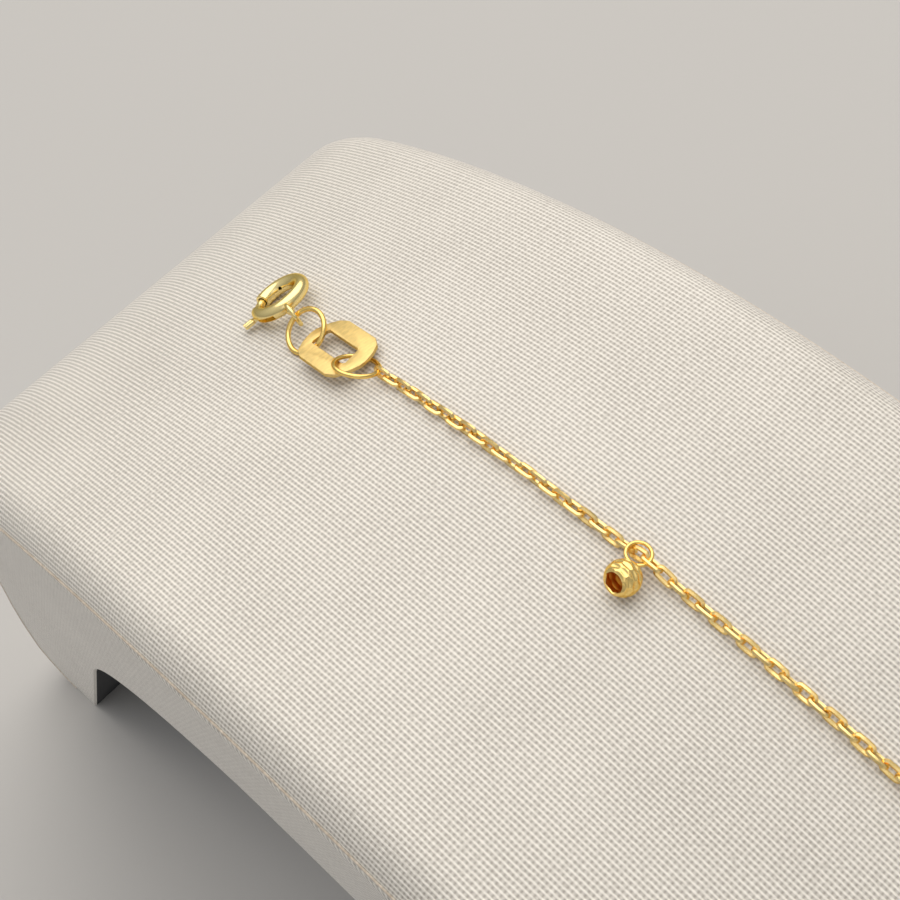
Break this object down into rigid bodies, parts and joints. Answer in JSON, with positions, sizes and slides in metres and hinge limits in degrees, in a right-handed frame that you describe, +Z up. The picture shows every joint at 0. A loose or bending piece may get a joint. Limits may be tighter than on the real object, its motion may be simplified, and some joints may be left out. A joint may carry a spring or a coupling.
{
  "type": "gold bracelet on display ramp",
  "caption": "Open fine cable chain bracelet with spring ring clasp, windowed tag and hollow ball charm, laid down a cloth covered display ramp.",
  "frame": {"origin": "on the table under the middle of the ramp, at the centre of the bounding box's underside", "axes": "+Z up, Y along the ramp with the long slope running down towards -Y and the short back leg at +Y, X across it"},
  "size_m": [0.056, 0.2236, 0.0758],
  "materials": {
    "stand_cloth": "warm ivory satin cloth with a fine sparkling weave, padded over a rigid ramp",
    "clasp_gold": "pale yellow gold, polished",
    "ring_gold": "yellow gold wire, polished",
    "tag_gold": "yellow gold plate, satin brushed",
    "chain_gold": "yellow gold, bright cut links and ball"
  },
  "bodies": {
    "bracelet_on_ramp": {"stand_body": "stand_cloth", "clasp_body": "clasp_gold", "clasp_jump_ring": "ring_gold", "tag_plate": "tag_gold", "chain_jump_ring": "ring_gold", "chain_1": "chain_gold", "chain_2": "chain_gold", "bead_charm": "chain_gold", "end_ring": "ring_gold"},
    "bolt": {"clasp_bolt": "clasp_gold"}
  },
  "joints": [
    {"name": "clasp_bolt_slide", "type": "hinge", "parent": "bracelet_on_ramp", "child": "bolt", "pos_m": [0.00355, 0.05083, 0.07389], "axis": [-0.0577, 0.3068, 0.95], "range_deg": [0, 48], "stiffness_Nm_per_rad": 0.000004, "springref_deg": -34.38}
  ]
}
